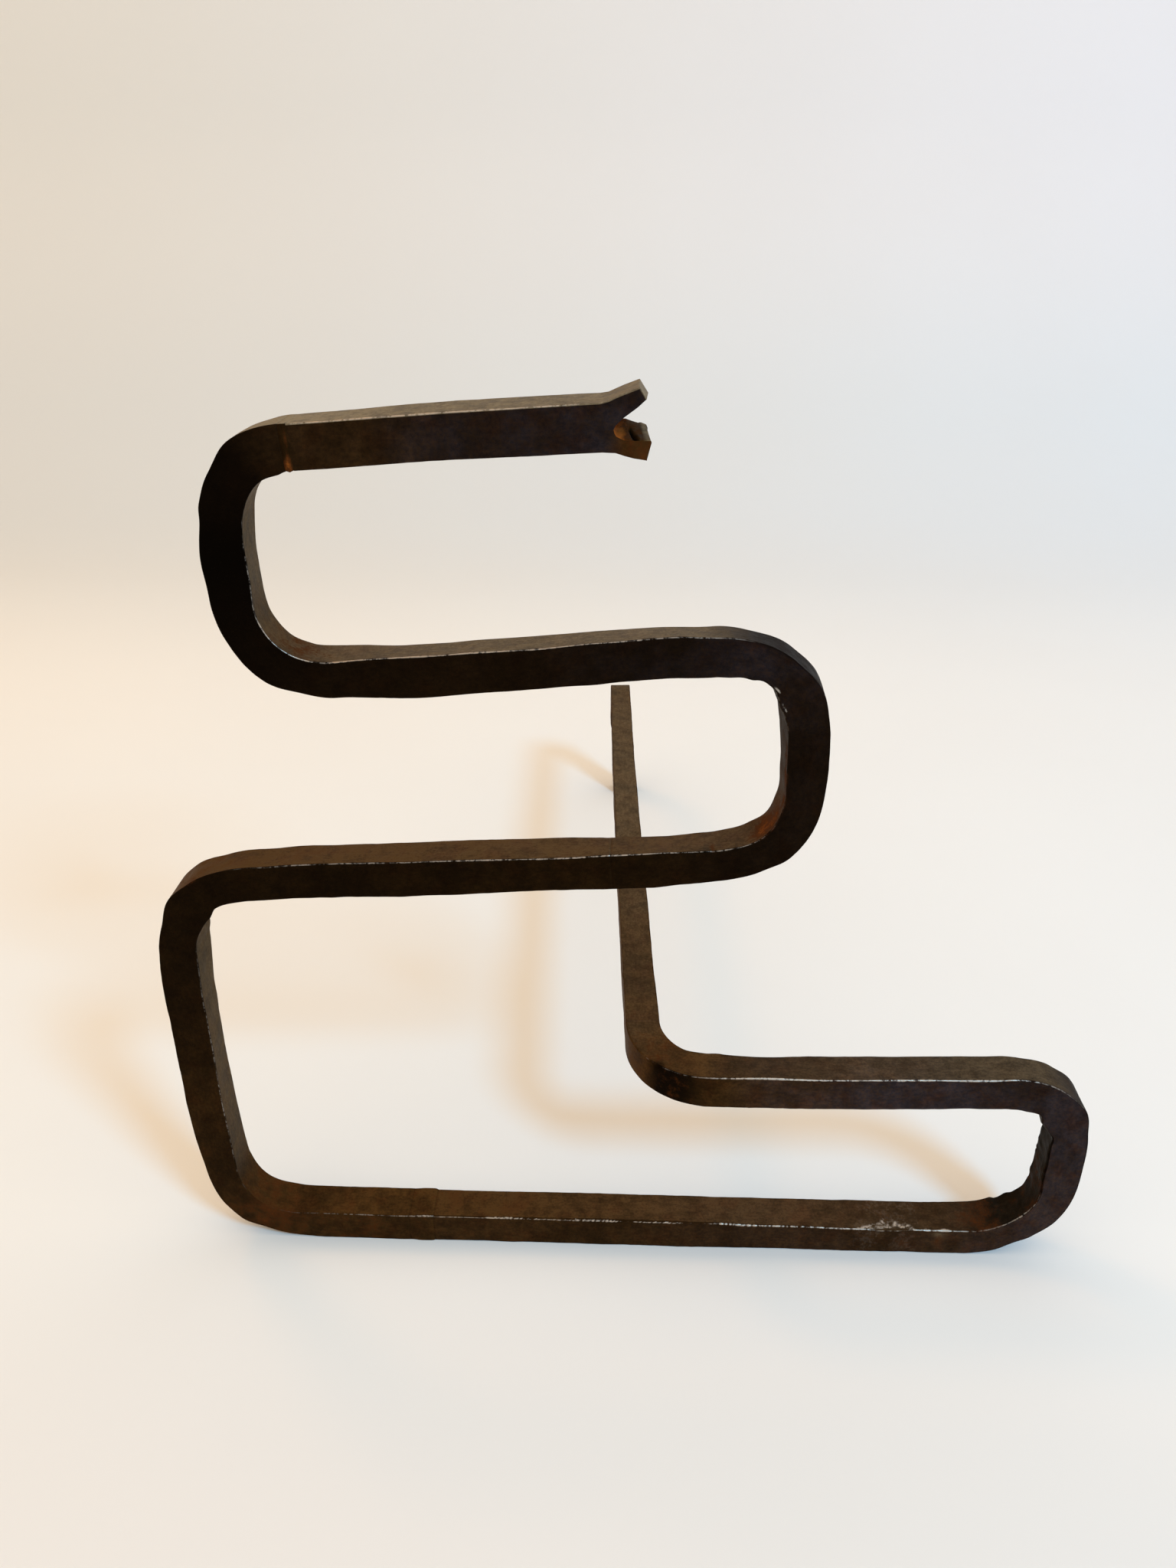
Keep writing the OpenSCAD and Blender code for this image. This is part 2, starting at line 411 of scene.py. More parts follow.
def tube(index):
    """Quads between neighbouring sections, from the number of each point."""
    nxt = np.roll(index, -1, axis=1)
    return np.stack([index[:-1], index[1:], nxt[1:], nxt[:-1]], -1)


def flow(s, u, v):
    """Place on the unrolled skin of the bar: distance along it and distance around it."""
    du = np.diff(u, axis=1, prepend=u[:, :1])
    dv = np.diff(v, axis=1, prepend=v[:, :1])
    girth = np.cumsum(np.hypot(du, dv).mean(axis=0))
    s = s + 0 * u
    return np.stack([s * MM, np.broadcast_to(girth * MM, s.shape), 0 * s], -1)


def box_normal(u, v, across, up):
    """Direction out of the bar, square to its sides and turning only near its corners."""
    out = np.stack([u, v], -1)
    out = np.sign(out) * np.abs(out) ** 8
    out /= np.linalg.norm(out, axis=-1, keepdims=True) + 1e-9
    return out[..., :1] * across + out[..., 1:] * up


def surface_lift(points):
    """Unevenness of the forged skin, the same for pieces that meet."""
    return 0.04 * noise3(points, 2.3, 41) + 0.05 * noise3(points, 5.1, 42) + 0.09 * noise3(points, 12.0, 43)


def ragged(points):
    """Torn, folded metal on the inside of a tight bend."""
    return np.abs(noise3(points, 2.6, 44)) + 0.6 * noise3(points, 5.5, 45)


def corner_share(u, v, half_depth, sign_u, sign_v, reach):
    """1 on the named corner of the section, falling to 0 at the given distance from it."""
    far = np.maximum(1 - sign_u * u / half_depth[:, None], 0) * half_depth[:, None]
    far = far + np.maximum(BAR_T / 2 - sign_v * v, 0)
    return np.clip(1 - far / reach, 0, 1)


def serrate(u, v, edge, s, half_depth, mark):
    """A row of short strokes across one corner, as a file or a ridged jaw leaves them."""
    place, length, pitch, depth, sign_u, sign_v = mark
    window = np.clip((1.2 - np.abs(s - place) / (length / 2)) / 0.2, 0, 1)
    wave = np.sin(2 * np.pi * s / pitch + 2.5 * facets(s, 11, 1, 31))
    share = corner_share(u, v, half_depth, sign_u, sign_v, 2.2)
    cut = depth * np.clip(wave, 0, 1) * window * (0.6 + 0.4 * facets(s, 8, 1, 32))
    u = u - sign_u * cut[:, None] * share
    v = v - sign_v * cut[:, None] * share
    edge = edge * (1 - 0.7 * np.clip(wave * window, 0, 1)[:, None] * (share > 0))
    return u, v, edge


def nick(u, v, s, half_depth, mark):
    """A small dent, or with a negative depth a small burr, on one corner."""
    place, length, depth, sign_u, sign_v = mark
    share = corner_share(u, v, half_depth, sign_u, sign_v, 2.5) * bump_at(s, place, length)[:, None] * depth
    return u - sign_u * share, v - sign_v * share


# Slope of a hammered flat across its corner, and the length of the direction (1, slope) out of it
FLAT_SLOPE = 2.2
FLAT_LENGTH = 2.42


def flatten(u, v, edge, s, half_depth, mark):
    """A flat that a hammer blow left on one corner, lens-shaped along the bar."""
    place, length, depth, sign_u, sign_v = mark
    t = np.clip(1 - ((s - place) / (length / 2)) ** 2, 0, None)
    reach = (sign_u * u + FLAT_SLOPE * sign_v * v) / FLAT_LENGTH
    limit = (half_depth + FLAT_SLOPE * BAR_T / 2) / FLAT_LENGTH - depth * t
    over = np.maximum(reach - limit[:, None], 0)
    rim = np.exp(-(((over - 0.1) / 0.09) ** 2)) * (t > 0.02)[:, None]
    edge = np.maximum(edge * (over < 0.02), 0.8 * rim)
    return u - sign_u * over / FLAT_LENGTH, v - sign_v * FLAT_SLOPE * over / FLAT_LENGTH, edge


def scratch(s, u, v, side, line):
    """Bright mark along a line of points (distance along the bar, place across it) on one side."""
    on_side, points, width, amount = line
    here = np.where(on_side in (HIGH, LOW), u, v)
    nearest = np.full(u.shape, 1e9)
    for (s0, w0), (s1, w1) in zip(points[:-1], points[1:]):
        ds, dw = s1 - s0, w1 - w0
        t = np.clip(((s[:, None] - s0) * ds + (here - w0) * dw) / (ds * ds + dw * dw), 0, 1)
        nearest = np.minimum(nearest, np.hypot(s[:, None] - s0 - t * ds, here - w0 - t * dw))
    return amount * np.exp(-((nearest / width) ** 2)) * (side == on_side)


def placed(name, data):
    """A new object in the scene."""
    obj = bpy.data.objects.new(name, data)
    bpy.context.scene.collection.objects.link(obj)
    return obj


def make_mesh(name, points, faces, attributes, flow_points):
    """A piece of the andiron, with the values that its material reads."""
    mesh = bpy.data.meshes.new(name)
    mesh.from_pydata((points * MM).tolist(), [], faces)
    for key, values in attributes.items():
        layer = mesh.attributes.new(key, "FLOAT", "POINT")
        layer.data.foreach_set("value", np.asarray(values, np.float32).ravel())
    layer = mesh.attributes.new("flow", "FLOAT_VECTOR", "POINT")
    layer.data.foreach_set("vector", np.asarray(flow_points, np.float32).ravel())
    mesh.polygons.foreach_set("use_smooth", [len(f) == 4 for f in faces])
    mesh.update()
    mesh.validate()
    return placed(name, mesh)


# ---- The bars ----


def lower_coil():
    st = Stations()
    st.front_rows(lower_start, LOWER_ROWS)
    bar = Bar("forged_lower_coil", st, 100)
    bar.high_f = st.profile(
        base_left={0: 8, 0.8: 8}, hearth_bend={0.1: 6.9, 0.3: 6.6, 0.48: 8.4, 0.64: 7.9, 0.9: 6.9},
        upright={0.2: 8.1, 0.68: 8, 0.9: 8.7},
        shoulder_bend={0: 8.2, 0.2: 7.8, 0.41: 9.8, 0.6: 8.7, 0.9: 8},
        third_left={0.22: 8.9, 0.6: 8.1, 0.85: 7.7, 1: 8.1},
    )
    bar.high_b = st.profile(
        base_left={0: 8}, hearth_bend={0.2: 6.9}, upright={0.5: 8},
        shoulder_bend={0.2: 8, 0.43: 9.3, 0.58: 8.8, 0.8: 6.9},
        third_left={0.03: 6.9, 0.15: 7.8, 0.6: 7.5, 0.85: 7, 1: 6.4},
    )
    bar.low_f = st.profile(
        base_left={0: -8, 1: -8.3}, hearth_bend={0.15: -8.3, 0.5: -6.9, 0.8: -7.6},
        upright={0.3: -8.8, 0.55: -9.2, 0.9: -8.3},
        shoulder_bend={0.15: -8.2, 0.48: -8.6, 0.62: -6.8, 0.9: -8.1},
        third_left={0.15: -7.5, 0.48: -8.6, 0.8: -7.7, 1: -8.1},
    )
    bar.low_b = st.profile(
        base_left={0: -8, 1: -8.5}, hearth_bend={0.15: -8.7, 0.5: -7, 0.85: -7.8},
        upright={0.5: -8.2, 0.75: -7.8, 1: -8.5}, shoulder_bend={0.1: -8.9, 0.28: -6.8, 0.5: -7.2},
        third_left={0.2: -8},
    )
    front = dict(
        base_left={0: 0.44, 1: 0.42}, upright={0.1: 0.28, 0.9: 0.12}, shoulder_bend={0.5: 0.09},
        third_left={0.2: 0.09, 1: 0.15},
    )
    rest = dict(
        base_left={0: 0.8, 1: 0.64}, upright={0.1: 0.53, 1: 0.43}, shoulder_bend={0.5: 1.05},
        third_left={0.1: 1.02, 1: 0.88},
    )
    bar.paint(front, rest)
    bar.bright[:, FRONT_LOW] = st.profile(
        base_left={0: 0.55}, hearth_bend={0.5: 0.25}, upright={0.3: 0.45, 1: 0.35}, shoulder_bend={0.3: 0},
    )
    bar.bright[:, FRONT_HIGH] = st.profile(
        base_left={0: 0}, upright={0: 0.05}, shoulder_bend={0.5: 0.15}, third_left={0.2: 0.5, 1: 0.75},
    )
    bar.ash_and_painted_sheen[:, LOW] = st.profile(hearth_bend={0.7: 0}, upright={0.15: 0.16, 0.9: 0.19})
    bar.ash_and_painted_sheen[:, HIGH] = st.profile(shoulder_bend={0.6: 0}, third_left={0.2: 0.05, 1: 0.11})
    bar.rust = [
        (st.at("hearth_bend", 0.3), 58, [FRONT], 0.58),
        (st.at("hearth_bend", 0.4), 50, [LOW], 0.6),
        (st.at("base_left", 0.5), 60, [FRONT], 0.42),
        (st.at("base_left", 0.5), 50, [LOW], 0.26),
        (st.at("shoulder_bend", 0.6), 34, [HIGH], 0.36),
    ]
    bar.nicks = [(st.at("third_left", 1) - 1, 4, 0.5, 1, 1)]
    return bar.build()


def upper_coil():
    st = Stations()
    st.front_rows(upper_start, UPPER_ROWS)
    bar = Bar("forged_upper_coil", st, 200)
    bar.high_f = st.profile(
        third_right={0: 8.1, 0.6: 8.4}, right_low={0.1: 8.6, 0.5: 6.8, 0.9: 7.2}, right_side={0.6: 7.6},
        right_high={0.3: 7.9, 0.5: 5.2, 0.58: 5.1, 0.72: 7, 0.9: 8.4},
        second={0.02: 8.2, 0.12: 7.5, 0.4: 8.3, 0.6: 9, 0.75: 9.5, 1: 7.4},
        left_low={0.2: 6.8, 0.42: 8.3, 0.75: 7.4}, left_side={0.1: 7.5, 0.5: 8.5, 0.95: 7.4},
        left_high={0.35: 7.1, 0.6: 8.7, 1: 8},
    )
    bar.high_b = st.profile(
        third_right={0: 6.4, 0.5: 6.1, 0.9: 7.2}, right_low={0.1: 7.8, 0.35: 7.3, 0.55: 6.2, 0.8: 7.2},
        right_side={0.3: 7.9}, right_high={0.1: 9.3, 0.3: 8.4, 0.55: 6.6}, second={0.3: 8.6, 0.8: 8.6},
        left_low={0.5: 7.6}, left_side={0.5: 8}, left_high={0.6: 8.4, 0.85: 7.7, 1: 8},
    )
    bar.low_f = st.profile(
        third_right={0: -8.1, 0.35: -8.3, 0.7: -6.9},
        right_low={0.12: -5.9, 0.3: -6.3, 0.5: -8.1, 0.9: -7.7}, right_side={0.5: -8.4},
        right_high={0.1: -8.2, 0.3: -9.3, 0.5: -8.4, 0.93: -7.4},
        second={0.1: -8.9, 0.3: -8.4, 0.5: -7.7, 0.9: -7.5}, left_low={0.4: -7.3},
        left_side={0.2: -8.8, 0.8: -7.8}, left_high={0.2: -8.6, 0.6: -8.4, 0.88: -9, 1: -8.3},
    )
    bar.low_b = st.profile(
        third_right={0: -8}, right_side={0.6: -8}, right_high={0.3: -9.6, 0.5: -8.2, 0.8: -5.8, 1: -5.9},
        second={0.15: -6.9, 0.5: -6.3, 0.8: -5.8},
        left_low={0.05: -7.9, 0.25: -7.2, 0.45: -6.6, 0.7: -7.2, 0.95: -8.1}, left_side={0.6: -7.4},
        left_high={0.15: -7.8, 0.5: -8, 1: -8},
    )
    front = dict(
        third_right={0: 0.13}, right_low={0.5: 0.09}, right_side={0.5: 0.1}, right_high={0.6: 0.24},
        second={0.1: 0.12, 0.9: 0.08}, left_low={0.6: 0.03}, left_side={0.5: 0},
        left_high={0.5: 0.03, 1: 0.18},
    )
    rest = dict(
        third_right={0: 0.84}, right_low={0.4: 0.85}, right_side={0.5: 0.25}, right_high={0.7: 0.1},
        second={0.1: 0.5, 0.9: 0.7}, left_low={0.5: 0.9}, left_side={0.5: 0.5},
        left_high={0.4: 0.5, 1: 0.6},
    )
    bar.paint(front, rest)
    bar.bright[:, FRONT_LOW] = st.profile(
        right_low={1: 0}, right_high={0.6: 0.15}, second={0: 0.5, 0.5: 0.85, 0.95: 0.9},
        left_low={0.6: 0.75}, left_side={0.4: 0.45}, left_high={0.6: 0.15},
    )
    bar.bright[:, FRONT_HIGH] = st.profile(
        third_right={0: 0.7}, right_low={0.3: 0.5}, right_side={0.5: 0.25}, right_high={0.5: 0.35},
        second={0.05: 0}, left_side={1: 0}, left_high={0.6: 0.25},
    )
    bar.ash_and_painted_sheen[:, LOW] = st.profile(
        right_high={0.7: 0}, second={0.05: 0.47, 0.6: 0.45, 0.95: 0.28}, left_low={0.6: 0.1},
        left_side={0.5: 0.24}, left_high={0.5: 0.24},
    )
    bar.ash_and_painted_sheen[:, HIGH] = st.profile(
        third_right={0: 0.1}, right_low={0.2: 0.1}, right_side={0.5: 0.03}, right_high={0.3: 0},
        left_side={1: 0}, left_high={0.3: 0.7, 1: 1.04},
    )
    bar.cool = st.profile(
        third_right={0: 0}, right_side={0.5: 0.4}, right_high={0.5: 1}, second={0.1: 0.7, 0.6: 0.1},
    )
    bar.rust = [(st.at("left_low", 0.3), 36, [LOW], 0.6)]
    bar.ragged = [(st.at("right_high", 0.5), 14, 0.5, [HIGH])]
    bar.spots = [
        ("rust", st.at("right_low", 0.55), 26, HIGH, -2.0, 18, 0.95),
        ("rust", st.at("right_side", 0.2), 44, HIGH, -6.5, 7, 0.7),
        ("rust", st.at("third_right", 0.96), 3, HIGH, -6.0, 8, 0.9),
        ("tone", st.at("third_right", 0.9), 3, HIGH, -5.5, 8, -0.5),
        # Two bright lines on the upset lip of the right loop: painted highlights, drawn as worn edge
        ("edge", st.at("right_high", 0.46), 6, FRONT, 4.2, 0.8, 0.8),
        ("edge", st.at("right_high", 0.3), 8, FRONT, 6.2, 0.7, 0.6),
    ]
    bar.nicks = [
        (st.at("third_right", 0.96), 2.6, 0.6, -1, 1),
        (st.at("third_right", 0.02), 4, 0.5, 1, 1),
        (st.at("left_high", 0.05), 5, -0.35, -1, 1),
        (st.at("right_high", 0.34), 4, -0.7, -1, 1),
        (st.at("right_high", 0.66), 3, -0.6, -1, 1),
    ]
    return bar.build()


# Scratches in the dent: points (distance from its middle, place across the bar), width and brightness
DENT_SCRATCHES = [
    ([(-14, -8.6), (-9, -7.4), (-4, -5.6), (-1, -5.4), (1, -7.6)], 0.5, 0.52),
    ([(-7, -8.4), (2, -7.2), (6, -5.8), (9, -5.9), (13, -8.4)], 0.5, 0.52),
    ([(3, -4.2), (8, -8)], 0.4, 0.6),
    ([(-2, -3.6), (1, -5.4)], 0.4, 0.55),
]


def tail_coil():
    st = Stations()
    st.front_rows(tail_start, TAIL_ROWS)
    corner_rows(st)
    bar = Bar("forged_tail_coil", st, 300)
    bar.high_f = st.profile(
        base_right={0: 8.4, 0.5: 8.5, 0.63: 7.6, 0.78: 7.2, 0.95: 7.4}, tail_low={0.3: 7, 0.7: 6.6},
        tail_side={0.3: 8.6, 1: 9}, tail_high={0.15: 7.6, 0.37: 9.8, 0.55: 6.1, 0.75: 7.9},
        tail={0: 8.8, 0.15: 8.1, 0.5: 8.3, 0.7: 8.6, 0.82: 10.4, 0.95: 8.3}, corner={0.2: 8},
    )
    bar.high_b = st.profile(
        base_right={0: 7.7, 0.5: 7.6, 0.9: 7.5},
        tail_low={0.1: 8.4, 0.34: 7.9, 0.41: 5.9, 0.49: 6.2, 0.55: 4.4, 0.66: 3.9, 0.78: 5, 0.9: 6.9},
        tail_side={0.8: 7.1}, tail_high={0.1: 4.6, 0.22: 7}, tail={0.2: 8},
    )
    bar.low_f = st.profile(
        base_right={0: -8, 1: -7.8}, tail_low={0.2: -7.7, 0.37: -6.8, 0.5: -8, 0.7: -9.1},
        tail_side={0: -8.6, 0.5: -8.5}, tail_high={0.1: -8.1, 0.35: -10.9, 0.55: -10.4},
        tail={0.04: -8.6, 0.3: -9.2, 0.6: -8.8, 0.85: -9.1, 1: -9}, corner={0.25: -8.3, 0.6: -8},
    )
    bar.low_b = st.profile(
        base_right={0: -8}, tail_low={0.5: -8}, tail_side={1: -8.5},
        tail_high={0.42: -11, 0.6: -9.9, 0.85: -8},
        tail={0.05: -7.8, 0.3: -7.8, 0.6: -7.4, 0.82: -6.8, 0.97: -7.7},
        corner={0.15: -8.1, 0.4: -7.4, 0.8: -8},
    )
    front = dict(
        base_right={0: 0.44, 0.5: 0.36}, tail_low={0: 0.52}, tail_side={0.5: 0.4}, tail_high={0.5: 0.36},
        tail={0.3: 0.46, 0.7: 0.55, 1: 0.5}, corner={0.25: 0.06, 0.42: 0.06, 0.58: 0.8, 1: 0.8},
    )
    rest = dict(
        base_right={0: 0.82, 0.6: 0.76}, tail_low={0: 0.5, 0.35: 0.02}, tail_side={0.5: 0.02},
        tail_high={0.2: 0.06, 0.6: 0.28}, tail={0.15: 0.28, 0.55: 0.55, 0.9: 0.45},
        corner={0.15: 0.8, 0.5: 0.84, 1: 0.6},
    )
    bar.paint(front, rest)
    bar.bright[:, FRONT_LOW] = st.profile(
        tail_low={1: 0}, tail_high={0.5: 0.4}, tail={0.1: 0.95, 0.5: 0.85, 0.9: 1},
        corner={0.2: 0.4, 1: 0.15},
    )
    bar.bright[:, FRONT_HIGH] = st.profile(
        base_right={0: 0.95, 0.6: 1, 0.75: 0.85}, tail_low={0.4: 0.6}, tail_side={0.5: 0.15}, tail={0: 0},
    )
    bar.radius[:, FRONT_LOW] = st.profile(
        tail_high={0.5: 0.5}, tail={0.1: 0.65, 0.9: 0.65}, corner={0.3: 0.5},
    )
    bar.radius[:, FRONT_HIGH] = st.profile(base_right={0: 0.8, 0.3: 0.95, 0.8: 0.6})
    bar.ash_and_painted_sheen[:, LOW] = st.profile(
        tail_high={0.35: 0, 0.75: 0.26}, tail={0.1: 0.24, 0.35: 0.15, 0.9: 0.06},
        corner={0.4: 0.02, 1: 0.1},
    )
    bar.ash_and_painted_sheen[:, HIGH] = st.profile(base_right={0: 0, 0.6: 0.07, 1: 0.04})
    bar.cool = st.profile(
        base_right={0.3: 0.05, 0.7: 0.25, 0.95: 0.25}, tail_low={0.35: 0.7}, tail_high={0.5: 1},
        tail={0.3: 1, 0.75: 0.5}, corner={0: 0},
    )
    bar.rust = [
        (st.at("tail_low", 0.18), 30, [HIGH], 0.56),
        (st.at("tail_low", 0.9), 60, [HIGH], 0.36),
        (st.at("corner", 0.55), 34, [LOW], 0.46),
        (st.at("corner", 0.3), 22, [FRONT], 0.32),
        (st.at("base_right", 0.1), 70, [FRONT], 0.26),
        (st.at("base_right", 0.92), 60, [FRONT], 0.3),
        (st.at("base_right", 0.45), 90, [HIGH], 0.12),
    ]
    bar.ragged = [
        (st.at("tail_side", 0.3), 34, 0.6, [HIGH]),
        (st.at("tail_low", 0.55), 26, 0.5, [HIGH]),
    ]
    bar.spots = [
        ("tone", st.at("corner", 0.44), 5, LOW, -8.0, 4, -0.8),
        ("ash_and_painted_sheen", st.at("base_right", 0.85), 24, HIGH, -6.5, 5, 0.16),
        ("edge", st.at("base_right", 0.93), 3, HIGH, -8.2, 1.2, 0.8),
        ("edge", st.at("base_right", 0.965), 5, HIGH, -8.2, 1.4, 0.9),
        ("ash_and_painted_sheen", st.at("base_right", 0.955), 5, FRONT, 5.0, 3.0, 0.3),
    ]
    dent = st.at("base_right", 0.858)
    bar.scratches = [
        (HIGH, [(dent + x, w) for x, w in line], width, amount) for line, width, amount in DENT_SCRATCHES
    ]
    bar.sway = st.profile(corner={0.3: 0, 1: 0.9})
    bar.serrated = [(st.at("base_right", 0.44), 150, 2.3, 0.22, -1, 1)]
    bar.flats = [(dent, 33, 1.5, -1, 1)]
    bar.nicks = [
        (st.at("tail", 0.985), 8, -0.5, 1, -1),
        (st.at("corner", 0.42), 7, 0.8, -1, -1),
        (st.at("tail_low", 0.38), 2.5, 0.7, 1, 1),
        (st.at("tail_low", 0.52), 3, 0.8, 1, 1),
        (st.at("tail_high", 0.26), 4, -0.8, -1, 1),
    ]
    return bar.build()


def log_bar_leg():
    st = Stations()
    log_rows(st)
    bar = Bar("forged_log_bar", st, 400)
    bar.free_end = True
    bar.sway = st.profile(
        log_bar={0: 0.9, 0.15: 0.1, 0.5: -0.8, 0.72: -1, 1: -0.4}, rear_bend={1: -0.1}, leg={0.1: 0.6},
    )
    tones = dict(log_bar={0: 0.6, 0.2: 0.52, 1: 0.58}, leg={1: 0.5})
    # The front of the log bar, its side away from the key lamp, is painted lighter than the others: painted
    # light that cancels its shade
    bar.paint(dict(log_bar={0: 0.8, 0.3: 0.7}), tones)
    bar.ash_and_painted_sheen[:, FRONT] = 0.06
    bar.bright[:] = 0.12
    # The top of the log bar grows paler towards the rear: ash, and painted sheen where it is seen at a more
    # grazing angle
    bar.ash_and_painted_sheen[:, LOW] = st.profile(log_bar={0: 0.08, 0.6: 0.27}, leg={1: 0.2})
    bar.rust = [(st.at("log_bar", 0.01), 22, [LOW], 0.25)]
    bar.nicks = [(st.at("log_bar", 0.09), 5, -0.45, -1, -1)]
    return bar.build()


def base_weld():
    st = Stations()
    st.front_rows(lower_start[:2] + (0.0,), [("weld", BASE_WELD_L, 0)])
    bar = Bar("forged_base_weld", st, 500)
    swell = np.sin(np.pi / 2 * np.clip(st.s / 7, 0, 1)) ** 2 * np.clip((BASE_WELD_L - st.s) / 1.2, 0, 1)
    share = st.s / BASE_WELD_L
    bar.high_f, bar.high_b = 8.0 + 0.4 * share + 0.35 * swell, 8.0 - 0.3 * share + 0.5 * swell
    bar.low_f = -8.0 - 0.3 * swell
    bar.st.depth = bar.st.depth + 0.5 * swell
    bar.paint(dict(weld={0: 0.46, 1: 0.46}), dict(weld={0: 0.75, 1: 0.8}))
    bar.bright[:, FRONT_LOW] = 0
    bar.bright[:, FRONT_HIGH] = st.profile(weld={0: 0.5, 1: 0.75})
    bar.radius[:, FRONT_HIGH] = st.profile(weld={0: 0.5, 1: 0.8})
    bar.rust = [(BASE_WELD_L / 2, 24, [FRONT, HIGH], 0.3)]
    return bar.build()


def head_weld():
    st = Stations()
    st.front_rows(head_weld_start, [("weld", HEAD_WELD_L, 0)])
    bar = Bar("forged_head_weld", st, 600)
    swell = np.sin(np.pi * st.s / HEAD_WELD_L) ** 2
    bar.low_f, bar.low_b = -8.0 - 0.6 * swell, -8.0 - 0.3 * swell
    bar.paint(dict(weld={0: 0.2, 1: 0.25}), dict(weld={0: 0.5, 1: 0.5}))
    bar.bright[:, FRONT_LOW] = 0
    bar.bright[:, FRONT_HIGH] = st.profile(weld={0: 0.25, 1: 0.3})
    bar.ash_and_painted_sheen[:, HIGH] = 1.05
    bar.rust = [(HEAD_WELD_L / 2, 5, [LOW], 0.6)]
    bar.spots = [
        ("rust", 1.9, 1.6, FRONT, 1.0, 17, 0.72),
        ("rust", 1.0, 4.0, FRONT, -6.5, 6, 0.8),
    ]
    return bar.build()


# Corners of the two halves of the head bar, from its weld to the tips of the jaws: distance from the weld
# and height over the middle of the bar. The halves touch up to the third point, where the split begins.
UPPER_JAW = {
    "low_f": [(3, 0), (60, 0), (114.9, -1.2), (115.7, 0.2), (118.4, 2.4), (123.5, 5.6), (126.6, 8)],
    "high_f": [(3, 8), (60, 8.3), (110.6, 8.1), (113.6, 8.6), (116.5, 9.7), (119, 10.6), (124.5, 12.2)],
    "high_b": [(3, 8), (60, 9), (110.6, 8.4), (113.6, 8.7), (116.5, 9.7), (119, 10.6), (124.5, 12.2)],
    "low_b": [(3, 0), (60, 0), (114.9, -0.8), (115.7, 0.6), (119, 1.9), (123.5, 4.6), (127.3, 7.2)],
}
LOWER_JAW = {
    "low_f": [
        (3, -8.2), (52, -7.8), (110.6, -8.7), (115.1, -9.2), (118, -10.3), (121, -11.2), (125.7, -12.3),
    ],
    "high_f": [(3, 0), (60, 0), (114.9, -1.2), (115.7, -3.1), (118.1, -4.5), (121.8, -5.1), (126.4, -5.3)],
    "high_b": [(3, 0), (60, 0), (114.9, -0.8), (115.7, -0.6), (118.9, -0.9), (121, -1.8), (125.1, -3.5)],
    "low_b": [(3, -8), (60, -8), (110.6, -8.4), (115.1, -9.2), (118, -10.3), (121, -11.2), (125.7, -12.3)],
}
# Sections between one point and the next, and the last place at which the halves touch, counted in points
HEAD_STEPS = [52, 50, 6, 8, 8, 10]
SPLIT = 1.995


def curve(points, place):
    """Points (s, n) of a corner line: place counts its control points."""
    table = np.array(points, float)
    k = np.clip(np.floor(place).astype(int), 0, len(table) - 2)
    f = (place - k)[:, None]
    return table[k] * (1 - f) + table[k + 1] * f


def jaw_ring(lines, place, lower):
    """Sections of one half, with its corner lines, its cut face and the two arcs beside that."""
    corner = {key: curve(value, place) for key, value in lines.items()}
    cut_corners = (FRONT_HIGH, BACK_HIGH) if lower else (FRONT_LOW, BACK_LOW)
    radius = np.full((len(place), 4), 0.5)
    radius[:, cut_corners] = 0.35 * np.clip((place - 2) * 2, 0, 1)[:, None]
    heights = [corner[key][:, 1] for key in ("low_f", "high_f", "high_b", "low_b")]
    u, v, edge, side = ring(*heights, np.full(len(place), BAR_D / 2), radius)
    nearest, within = np.divmod(np.arange(len(side)), ARC_POINTS + SIDE_POINTS)
    arcs = [(nearest == i) & (within < ARC_POINTS) for i in cut_corners]
    cut = (side == (HIGH if lower else LOW)) & ~arcs[0] & ~arcs[1]
    return corner, u, v, edge, side, cut, arcs


def jaw_lengths(corner, u, v):
    """At each point the distance from the head weld, the share of the height, and the section's ends."""
    across = np.clip((u / (BAR_D / 2) + 1) / 2, 0, 1)
    s_low, low = [blend(corner["low_f"][:, k], corner["low_b"][:, k], across) for k in (0, 1)]
    s_high, high = [blend(corner["high_f"][:, k], corner["high_b"][:, k], across) for k in (0, 1)]
    rise = np.clip((v - low) / (high - low), 0, 1)
    return s_low * (1 - rise) + s_high * rise, rise, low, high


def jaw_skin(s, u, v, tall, hammered, inside, seed):
    """Points of the skin of one half in the part's frame, lifted where the metal is uneven."""
    start = np.array([head_weld_start[0], 0.0, head_weld_start[1]])
    h = math.radians(head_weld_start[2])
    ahead, across, up = np.array([[math.cos(h), 0, math.sin(h)], [0, 1, 0], [-math.sin(h), 0, math.cos(h)]])
    points = start + s[..., None] * ahead + u[..., None] * across + v[..., None] * up
    outward = box_normal(u / (BAR_D / 2), tall, across, up)
    flat = points.reshape(-1, 3)
    over = facets(s[:, 0], 14, 0.14, seed) * np.clip((s[:, 0] - HEAD_WELD_L) / JOIN_FADE, 0, 1)
    lift = surface_lift(flat) + (over[:, None] * hammered).ravel()
    return flat + outward.reshape(-1, 3) * (lift * ~inside.ravel())[:, None]


